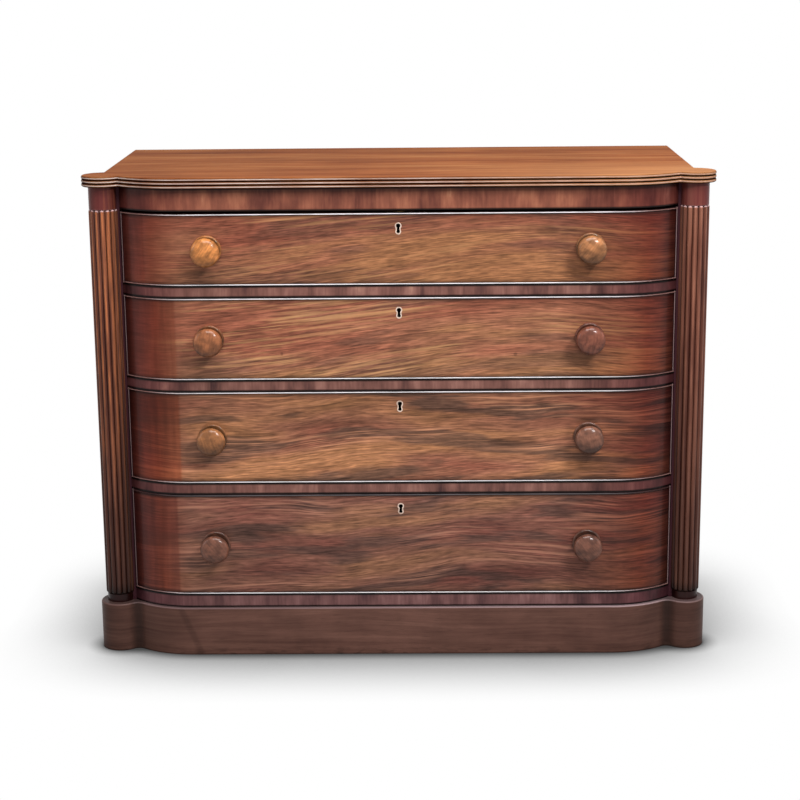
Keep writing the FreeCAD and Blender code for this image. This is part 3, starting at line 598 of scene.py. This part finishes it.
def column(name, warmth, inner_shade):
    """A column, darker to its foot and, by inner_shade, on the side next to the drawers."""
    finish = Finish("mahogany_" + name, coat=0.12, coat_roughness=0.15)
    z = finish.z
    low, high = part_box(name)
    side = 1 if low.x > 0 else -1
    centre_x = high.x - COLUMN_RADIUS if side > 0 else low.x + COLUMN_RADIUS
    from_x = finish.minus(finish.x, centre_x)
    from_y = finish.minus(finish.y, low.y + COLUMN_RADIUS)
    squares = finish.plus(finish.times(from_x, from_x), finish.times(from_y, from_y))
    out = finish.math("SQRT", squares)
    turn = finish.times(finish.math("ARCTAN2", from_y, from_x), 0.03)
    stops = (*COLUMN_TONES, (1.0, warmth))
    colour, pores = mahogany_tone(finish, z, turn, 20.0 + side, stops, gains=(1.6, 1.0, 0.8))
    on_shaft = shaft_share(finish)
    colour = reeds_worn_and_shaded(finish, colour, on_shaft, out, turn, warmth)
    plain = finish.minus(1.0, on_shaft)
    colour = finish.mix(finish.times(plain, 0.7), colour, (100, 40, 42))
    # darker toward the foot, and painted shade on the side next to the drawers
    darker_to_foot = finish.between(z, 0.05, 0.62, 0.30, 1.0)
    inner = finish.between(finish.times(from_x, side), -0.024, -0.002, inner_shade, 1.0)
    colour = finish.shade(colour, finish.times(darker_to_foot, inner))
    colour = tips_with_painted_highlight(finish, colour, on_shaft, out)
    foot = finish.between(z, NECK_TOP + 0.001, NECK_TOP + 0.025, 0.35, 1.0, smooth=True)
    colour = finish.shade(colour, foot)
    give(finish.dress(colour, pores, 0.12, 0.0003), name)


def columns():
    column("column_left", (200, 120, 76), 0.45)
    column("column_right", (150, 98, 78), 0.75)


# ---- sides, posts and plinth ---------------------------------------------------------------
SIDE_TONES = ((0.0, (66, 34, 30)), (0.35, (98, 54, 42)), (0.6, (122, 70, 50)), (1.0, (158, 98, 68)))
PLINTH_TONES = (
    (0.0, (56, 36, 32)),
    (0.35, (84, 56, 48)),
    (0.6, (104, 72, 62)),
    (1.0, (136, 100, 86)),
)
# the dark rub on the plinth: where it meets the floor, and how far it leans back to the left
RUB_X = -0.377
RUB_LEAN = 0.42


def apart(finish, across):
    """The figure's cross coordinate, set apart so that left and right sides differ."""
    return finish.plus(across, finish.times(finish.math("SIGN", finish.x), 3.0))


def sides():
    finish = Finish("mahogany_sides", coat=0.1, coat_roughness=0.2)
    x, y, z = finish.x, finish.y, finish.z
    sway = finish.noise(finish.times(z, 2.0), finish.times(y, 4.0), x, detail=1.0)
    across = apart(finish, finish.plus(y, finish.times(sway, 0.06)))
    colour, pores = mahogany_tone(finish, z, across, 60.0, SIDE_TONES)
    foot = finish.between(z, PLINTH_TOP, PLINTH_TOP + 0.012, 0.7, 1.0, smooth=True)
    colour = finish.shade(colour, foot)
    give(finish.dress(colour, pores, 0.12, 0.0003), "side_left", "side_right")


def posts():
    """The posts' fronts, painted near black as shade between the columns and the drawers."""
    finish = Finish("mahogany_posts", roughness=0.6)
    stains = finish.noise(
        finish.times(finish.x, 40.0), finish.times(finish.y, 40.0), finish.times(finish.z, 6.0)
    )
    wood = finish.ramp(stains, ((0.3, (106, 62, 48)), (0.7, (142, 91, 64))))
    depth = finish.between(finish.y, POST_FRONT + 0.002, POST_FRONT + 0.02, smooth=True)
    give(finish.dress(finish.mix(depth, (52, 24, 30), wood)), "front_posts")


def plinth_scuffs_and_painted_shade(finish, colour, along):
    """Painted shade in the coves between the front and the corner blocks and as a contact shadow
    along the floor, with scuffs low down.
    """
    x, z = finish.x, finish.z
    from_cove = finish.math("ABSOLUTE", finish.minus(finish.math("ABSOLUTE", x), COVE_X))
    painted_shade = finish.between(from_cove, 0.002, 0.018, 0.35, 1.0, smooth=True)
    colour = finish.shade(colour, painted_shade)
    scuffs = finish.noise(finish.times(along, 40.0), finish.times(z, 120.0), 8.0)
    low = finish.between(z, 0.0, 0.018, 0.9, 0.0)
    wear_and_highlight = finish.times(finish.between(scuffs, 0.5, 0.7), low)
    colour = finish.mix(wear_and_highlight, colour, (58, 40, 34))
    foot = finish.between(z, 0.0005, 0.004, 0.45, 1.0, smooth=True)
    return finish.shade(colour, foot)


def plinth_edge(finish, colour):
    """The plinth's upper edge, with a painted highlight along it and a painted dark line of shade
    behind it.
    """
    x, z = finish.x, finish.z
    from_middle = finish.math("ABSOLUTE", x)
    edge = finish.between(z, PLINTH_TOP - 0.0030, PLINTH_TOP - 0.0012, smooth=True)
    edge = finish.times(edge, finish.between(from_middle, COVE_X - 0.02, COVE_X, 0.8, 0.3))
    painted_highlight = finish.mix(finish.between(x, -0.3, 0.4), (112, 90, 90), (160, 136, 138))
    colour = finish.mix(edge, colour, painted_highlight)
    ledge = finish.between(z, PLINTH_TOP - 0.0006, PLINTH_TOP - 0.0002, 1.0, 0.5)
    return finish.shade(colour, ledge)


def plinth():
    finish = Finish("mahogany_plinth", roughness=0.48, coat=0.05, coat_roughness=0.3)
    x, y, z = finish.x, finish.y, finish.z
    along = finish.plus(x, y)
    sway = finish.noise(finish.times(along, 2.5), finish.times(z, 8.0), 1.0, detail=1.0)
    across = finish.plus(z, finish.times(sway, 0.03))
    gains = (0.8, 0.5, 0.4)
    colour, _ = mahogany_tone(finish, along, across, 80.0, PLINTH_TONES, gains=gains)
    blotch = finish.noise(finish.times(along, 16.0), finish.times(z, 22.0), 3.0, detail=3.0)
    colour = finish.shade(colour, finish.between(blotch, 0.32, 0.68, 0.86, 1.10))
    slant = finish.plus(finish.minus(x, RUB_X), finish.times(z, RUB_LEAN))
    rub = finish.between(finish.math("ABSOLUTE", slant), 0.002, 0.010, 0.78, 1.0, smooth=True)
    colour = finish.shade(colour, rub)
    # painted shade: darker toward both ends, where the plinth bends back from the light
    toward_end = finish.between(finish.math("ABSOLUTE", x), 0.36, 0.56, 1.0, 0.66)
    colour = finish.shade(colour, toward_end)
    colour = plinth_scuffs_and_painted_shade(finish, colour, along)
    colour = plinth_edge(finish, colour)
    parts = ("plinth_front", "plinth_blocks", "plinth_sides")
    give(finish.dress(colour, blotch, 0.15, 0.0004), *parts)


# ---- beads and knobs -----------------------------------------------------------------------
# how far in from a front's edges the crests of its beads lie
UPPER_CREST = 0.0014
LOWER_CREST = 0.0018
END_CREST = 0.0016


def bead(number):
    """A drawer's dark beads, with a painted highlight along the crests of their noses, bright in
    the middle and dull toward the ends.
    """
    finish = Finish("mahogany_beads_%d" % number)
    name = "drawer_%d_beads" % number
    low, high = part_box(name)
    x, y, z = finish.x, finish.y, finish.z
    chips = finish.noise(finish.times(x, 30.0), finish.times(y, 30.0), finish.times(z, 30.0))
    colour = finish.ramp(chips, ((0.3, (20, 10, 12)), (0.7, (46, 26, 26))))
    upper = finish.math("ABSOLUTE", finish.minus(z, high.z - UPPER_CREST))
    lower = finish.math("ABSOLUTE", finish.minus(z, low.z + LOWER_CREST))
    from_crest = finish.math("MINIMUM", upper, lower)
    crest = finish.between(from_crest, 0.0004, 0.0011, 1.0, 0.0, smooth=True)
    if number == DRAWERS[-1]:
        # the lowest drawer's upper bead gets hardly any painted highlight
        kept = finish.between(z, low.z + 0.004, high.z - 0.004, 1.0, 0.12)
        crest = finish.times(crest, kept)
    wear_and_highlight = finish.times(crest, finish.between(chips, 0.25, 0.6, 0.7, 1.0))
    from_middle = finish.math("ABSOLUTE", x)
    nose = finish.math("ABSOLUTE", finish.minus(high.x - END_CREST, from_middle))
    nose = finish.between(nose, 0.0003, 0.0010, 1.0, 0.0, smooth=True)
    colour = finish.mix(finish.times(nose, 0.75), colour, (150, 124, 124))
    at_end = finish.between(from_middle, 0.35, 0.47, smooth=True)
    painted_highlight = finish.mix(at_end, (255, 250, 252), (130, 96, 90))
    colour = finish.mix(finish.times(wear_and_highlight, 0.95), colour, painted_highlight)
    give(finish.dress(colour), name)


def beads():
    for number in DRAWERS:
        bead(number)


# the left and the right knob of each drawer: the tone, and the painted shade of the lower half
KNOB_TONES = {
    1: ((185, 117, 62), 0.78, (146, 96, 60), 0.52),
    2: ((142, 86, 53), 0.66, (108, 61, 46), 0.95),
    3: ((140, 90, 54), 0.48, (118, 77, 60), 0.45),
    4: ((104, 65, 50), 1.05, (96, 60, 47), 1.20),
}


def knob_pair(number):
    """Knobs of unlike tones, blotched, with painted shade on their lower halves and behind their
    heads.
    """
    finish = Finish("mahogany_knobs_%d" % number, roughness=0.3, coat=0.4, coat_roughness=0.13)
    name = "drawer_%d_knobs" % number
    low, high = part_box(name)
    x, y = finish.x, finish.y
    height = finish.minus(finish.z, (low.z + high.z) / 2)
    left, left_below, right, right_below = KNOB_TONES[number]
    colour = finish.mix(finish.between(x, -0.1, 0.1), left, right)
    below = finish.between(x, -0.1, 0.1, left_below, right_below)
    # the grain leans another way on each pair
    lean = 1.2 - 0.5 * number
    along = finish.plus(finish.times(x, lean), height)
    across = finish.minus(x, finish.times(height, lean))
    seed = 3.0 * number
    for length, width, gain in ((35.0, 60.0, 1.1), (24.0, 260.0, 0.9), (60.0, 900.0, 0.6)):
        grain = finish.noise(finish.times(along, length), finish.times(across, width), seed)
        lift = finish.times(finish.minus(grain, 0.5), gain)
        colour = finish.shade(colour, finish.plus(lift, 1.0))
    painted_shade_below = finish.between(height, -0.020, 0.012, smooth=True)
    painted_shade_below = finish.plus(finish.times(painted_shade_below, finish.minus(1.1, below)), below)
    colour = finish.shade(colour, painted_shade_below)
    blotch = finish.noise(finish.times(x, 70.0), finish.times(height, 90.0), seed, detail=3.0)
    colour = finish.shade(colour, finish.between(blotch, 0.34, 0.66, 0.72, 1.28, smooth=True))
    # painted shade behind the heads, lifted on the collar, which catches the light
    behind = finish.between(y, low.y + 0.012, low.y + 0.024, 1.0, 0.22, smooth=True)
    collar = finish.between(y, FLAT_FRONT - 0.0070, FLAT_FRONT - 0.0055, 0.0, 0.45)
    colour = finish.shade(colour, finish.plus(behind, collar))
    give(finish.dress(colour, grain, 0.08, 0.0002), name)


def knobs():
    for number in DRAWERS:
        knob_pair(number)


# ---- bare woods inside and at the back -----------------------------------------------------
PINE = ((0.15, (98, 60, 36)), (0.45, (144, 96, 60)), (0.75, (172, 122, 80)), (1.0, (192, 146, 102)))
OAK = ((0.15, (96, 64, 42)), (0.45, (142, 102, 70)), (0.75, (170, 130, 94)), (1.0, (192, 154, 116)))


def bare_wood(name, along, across, stops, seed, members, boards=None):
    """Aged bare wood: grain lines, broad changes of tone and dust; boards is how many a metre."""
    finish = Finish(name, roughness=0.75)
    place = {"x": finish.x, "y": finish.y, "z": finish.z}
    run = place[along]
    width = place[across]
    if boards:
        part = finish.cells(finish.times(finish.plus(width, 1.0), boards))
        run = finish.plus(run, finish.times(part, 7.0))
        width = finish.plus(width, finish.times(part, 0.3))
    sway = finish.noise(finish.times(run, 2.2), finish.times(width, 7.0), seed, detail=1.0)
    width = finish.plus(width, finish.times(sway, 0.035))
    rings = finish.math("SINE", finish.times(width, 420.0))
    fine = finish.noise(finish.times(run, 12.0), finish.times(width, 420.0), seed + 4)
    broad = finish.noise(finish.times(run, 1.6), finish.times(width, 16.0), seed + 8)
    value = finish.plus(finish.times(rings, 0.05), finish.times(fine, 0.75))
    value = finish.plus(value, finish.times(broad, 0.85))
    colour = finish.ramp(finish.minus(value, 0.30), stops)
    dust = finish.noise(finish.times(finish.x, 5.0), finish.times(finish.y, 5.0), finish.z)
    colour = finish.shade(colour, finish.between(dust, 0.3, 0.7, 0.84, 1.06))
    if boards:
        edge = finish.math("FRACT", finish.times(finish.plus(place[across], 1.0), boards))
        colour = finish.shade(colour, finish.between(edge, 0.004, 0.022, 0.25, 1.0))
    give(finish.dress(colour, fine, 0.3, 0.0006), *members)


def bare_woods():
    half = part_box("back_boards")[1].x
    bare_wood("pine_back", "z", "x", PINE, 5.0, ["back_boards"], boards=3 / half)
    lying = ["dust_boards", "bottom_board"]
    bare_wood("pine_flat", "x", "y", PINE, 15.0, lying)
    across = ["top_rails", "drawer_stops", "plinth_back", "glue_blocks"]
    bare_wood("pine_across", "x", "z", PINE, 25.0, across)
    deep = ["drawer_runners", "drawer_guides", "drawer_kickers"]
    bare_wood("pine_deep", "y", "x", PINE, 35.0, deep)
    bare_wood("oak_sides", "y", "z", OAK, 45.0, ["drawer_%d_sides" % n for n in DRAWERS])
    bare_wood("oak_backs", "x", "z", OAK, 55.0, ["drawer_%d_back" % n for n in DRAWERS])
    bottoms = ["drawer_%d_bottom" % n for n in DRAWERS]
    bare_wood("oak_bottoms", "x", "y", OAK, 65.0, bottoms)


# ---- metals --------------------------------------------------------------------------------
def metal(name, light, dark, roughness, members, metallic=1.0, unlit=False):
    """A worn metal; unlit blackens what is only seen through the keyhole."""
    finish = Finish(name)
    finish.surface.inputs["Metallic"].default_value = metallic
    x, y, z = finish.x, finish.y, finish.z
    tarnish = finish.noise(
        finish.times(x, 90.0), finish.times(y, 90.0), finish.times(z, 90.0), detail=3.0
    )
    scratch = finish.noise(finish.times(x, 700.0), finish.times(y, 90.0), finish.times(z, 90.0))
    colour = finish.mix(finish.between(tarnish, 0.45, 0.7), light, dark)
    if unlit:
        behind = finish.between(finish.math("ABSOLUTE", x), 0.007, 0.010, 1.0, 0.0)
        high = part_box(members[0])[1]
        behind = finish.times(behind, finish.between(y, high.y - 0.002, high.y - 0.003))
        behind = finish.times(behind, finish.between(z, high.z - 0.014, high.z - 0.016))
        colour = finish.mix(behind, colour, (3, 3, 3))
    polish = finish.between(tarnish, 0.3, 0.7, roughness, roughness + 0.2)
    give(finish.dress(colour, scratch, 0.1, 0.0001, polish), *members)


def metals():
    rings = ["drawer_%d_escutcheon" % n for n in DRAWERS]
    metal("brass_rings", (222, 198, 182), (182, 156, 140), 0.3, rings, metallic=0.25)
    for number in DRAWERS:
        lock = "drawer_%d_lock" % number
        metal("brass_lock_%d" % number, (196, 158, 96), (120, 88, 52), 0.35, [lock], unlit=True)
    bolts = ["drawer_%d_lock_bolt" % n for n in DRAWERS]
    metal("steel", (170, 166, 160), (92, 86, 80), 0.35, bolts)


# ---- floor, light and camera ---------------------------------------------------------------
FLOOR_SIZE = 40.0
# how far from the chest its soft shades on the floor go, and how dark they get
SHADES = ((0.24, 0.26), (0.035, 0.25))
FLOOR_GREY = (0.35, 0.35, 0.35, 1)
ROOM_GREY = (0.97, 0.98, 1.0, 1)
ROOM_STRENGTH = 0.13


def seen_share(tree):
    """1 for the rays that see the white background: to the camera, in metal and in glass."""
    path = tree.nodes.new("ShaderNodeLightPath")
    share = path.outputs["Is Camera Ray"]
    for name in ("Is Glossy Ray", "Is Transmission Ray"):
        either = tree.nodes.new("ShaderNodeMath")
        either.operation = "MAXIMUM"
        tree.links.new(share, either.inputs[0])
        tree.links.new(path.outputs[name], either.inputs[1])
        share = either.outputs[0]
    return share


def seen_or_lit(tree, seen, lit, output):
    """Show seen to the rays that see the white background, and lit to all others."""
    both = tree.nodes.new("ShaderNodeMixShader")
    tree.links.new(seen_share(tree), both.inputs[0])
    tree.links.new(lit.outputs[0], both.inputs[1])
    tree.links.new(seen.outputs[0], both.inputs[2])
    tree.links.new(both.outputs[0], tree.nodes.new(output).inputs[0])


def floor():
    """A plain floor, white where it is seen but for the soft shade close round the chest."""
    bpy.ops.mesh.primitive_plane_add(size=FLOOR_SIZE)
    plane = bpy.context.object
    plane.name = "floor"
    material = bpy.data.materials.new("floor")
    material.use_nodes = True
    tree = material.node_tree
    tree.nodes.clear()
    seen = tree.nodes.new("ShaderNodeEmission")
    both_shades = tree.nodes.new("ShaderNodeMath")
    both_shades.operation = "MULTIPLY"
    tree.links.new(both_shades.outputs[0], seen.inputs["Strength"])
    for socket, (reach, deepest) in zip(both_shades.inputs, SHADES):
        closeness = tree.nodes.new("ShaderNodeAmbientOcclusion")
        closeness.samples = 24
        closeness.inputs["Distance"].default_value = reach
        shade = tree.nodes.new("ShaderNodeMapRange")
        shade.inputs["From Min"].default_value = 0.5
        shade.inputs["To Min"].default_value = deepest
        tree.links.new(closeness.outputs["AO"], shade.inputs["Value"])
        tree.links.new(shade.outputs[0], socket)
    lit = tree.nodes.new("ShaderNodeBsdfDiffuse")
    lit.inputs["Color"].default_value = FLOOR_GREY
    seen_or_lit(tree, seen, lit, "ShaderNodeOutputMaterial")
    plane.data.materials.append(material)


def surroundings():
    """White to the camera and in reflections, and a soft grey room to everything else."""
    world = bpy.data.worlds.new("studio")
    bpy.context.scene.world = world
    world.use_nodes = True
    tree = world.node_tree
    tree.nodes.clear()
    room = tree.nodes.new("ShaderNodeBackground")
    room.inputs[0].default_value = ROOM_GREY
    room.inputs[1].default_value = ROOM_STRENGTH
    white = tree.nodes.new("ShaderNodeBackground")
    white.inputs[0].default_value = (1, 1, 1, 1)
    white.inputs[1].default_value = 1.0
    seen_or_lit(tree, white, room, "ShaderNodeOutputWorld")


def softbox(name, place, target, width, height, power, mirrored=True):
    """A rectangular light aimed at target; one that isn't mirrored shows in no reflection."""
    data = bpy.data.lights.new(name, "AREA")
    data.shape = "RECTANGLE"
    data.size = width
    data.size_y = height
    data.energy = power
    light = bpy.data.objects.new(name, data)
    light.visible_glossy = mirrored
    light.location = place
    light.rotation_euler = (Vector(target) - Vector(place)).to_track_quat("-Z", "Y").to_euler()
    bpy.context.scene.collection.objects.link(light)


def lights():
    softbox("key", (1.7, -2.7, 2.8), (0, -0.2, 0.5), 0.7, 0.5, 74)
    softbox("overhead", (0.2, -1.35, 2.9), (0, -0.15, 0.6), 2.2, 1.0, 68)
    softbox("front_fill", (-1.0, -4.8, 1.7), (0, 0, 0.45), 2.6, 2.0, 25, mirrored=False)
    softbox("left", (-3.2, -1.0, 1.8), (-0.4, 0, 0.5), 1.2, 1.8, 12)
    softbox("right", (3.2, -0.4, 1.8), (0.4, 0, 0.5), 1.2, 1.8, 10)
    softbox("back_fill", (0.4, 3.8, 1.0), (0, 0.2, 0.45), 2.4, 1.6, 34, mirrored=False)


CAMERA_PLACE = (0.046, -3.5655, 1.3015)
CAMERA_YAW = math.radians(0.781)
CAMERA_PITCH = math.radians(13.601)
CAMERA_ROLL = math.radians(-0.545)
LENS = 84.735


def camera():
    data = bpy.data.cameras.new("camera")
    data.lens = LENS
    eye = bpy.data.objects.new("camera", data)
    bpy.context.scene.collection.objects.link(eye)
    bpy.context.scene.camera = eye
    level = Vector((math.cos(CAMERA_YAW), math.sin(CAMERA_YAW), 0))
    ahead = Vector((-math.sin(CAMERA_YAW), math.cos(CAMERA_YAW), 0))
    forward = ahead * math.cos(CAMERA_PITCH) - Vector((0, 0, math.sin(CAMERA_PITCH)))
    up = level.cross(forward)
    right = math.cos(CAMERA_ROLL) * level + math.sin(CAMERA_ROLL) * up
    top = math.cos(CAMERA_ROLL) * up - math.sin(CAMERA_ROLL) * level
    turn = Matrix((right, top, -forward)).transposed().to_4x4()
    eye.matrix_world = Matrix.Translation(CAMERA_PLACE) @ turn


# ---- the scene -----------------------------------------------------------------------------
camera()
surroundings()
lights()
floor()
drawer_fronts()
rails()
top_board()
columns()
sides()
posts()
plinth()
beads()
knobs()
bare_woods()
metals()
bpy.context.scene.view_settings.view_transform = "Standard"
